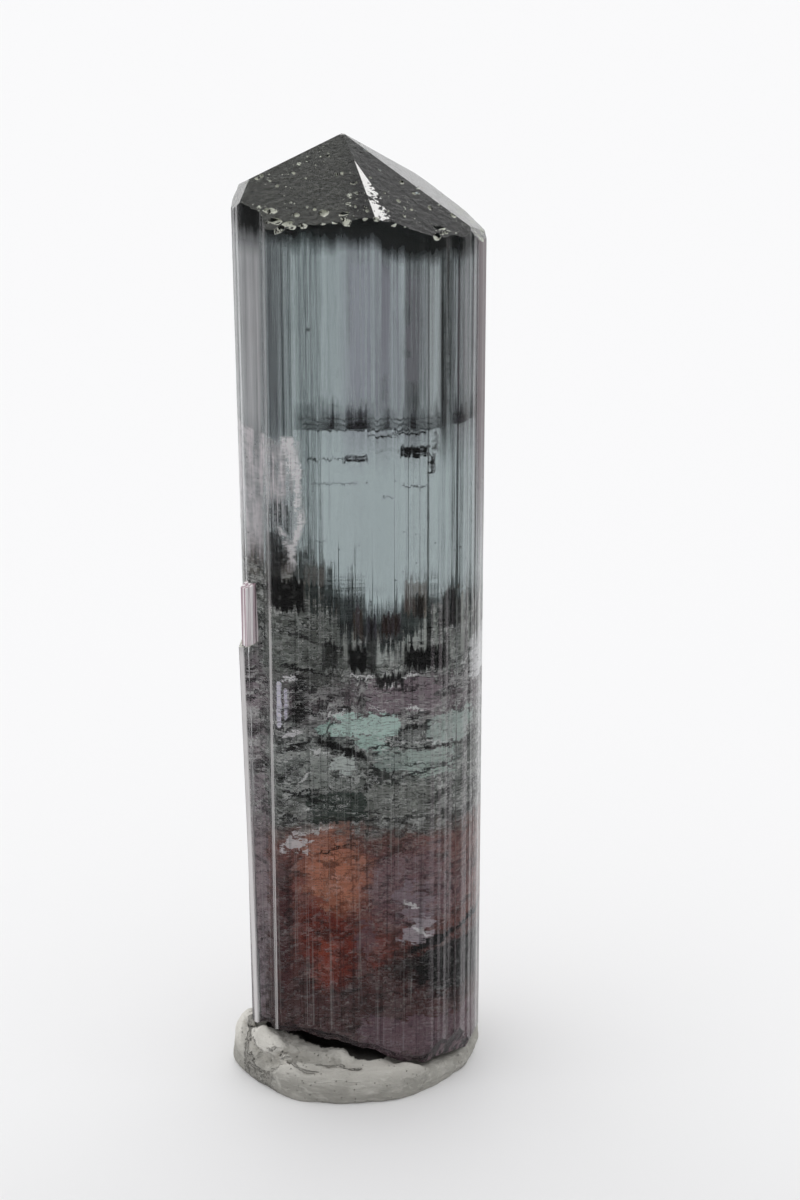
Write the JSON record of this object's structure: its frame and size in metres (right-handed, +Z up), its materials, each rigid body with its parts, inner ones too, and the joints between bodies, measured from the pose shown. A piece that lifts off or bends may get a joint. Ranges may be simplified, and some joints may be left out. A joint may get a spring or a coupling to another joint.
{
  "type": "tourmaline crystal",
  "caption": "Upright striated tourmaline crystal with a low three-sided point, standing on a broken foot in a pressed lump of mounting putty.",
  "frame": {"origin": "centre of the object's footprint, on the putty's flat underside", "axes": "+Z up the crystal's long axis, -Y the way its broad striated front face looks, +X to that face's right"},
  "size_m": [0.0204, 0.0204, 0.0767],
  "materials": {
    "tourmaline": "vitreous, pale blue-green above and included brown-red below, finely striated along its length",
    "putty": "matte, creased by fingers"
  },
  "bodies": {
    "root": {"tourmaline_crystal": "tourmaline", "mounting_putty": "putty"}
  },
  "joints": []
}
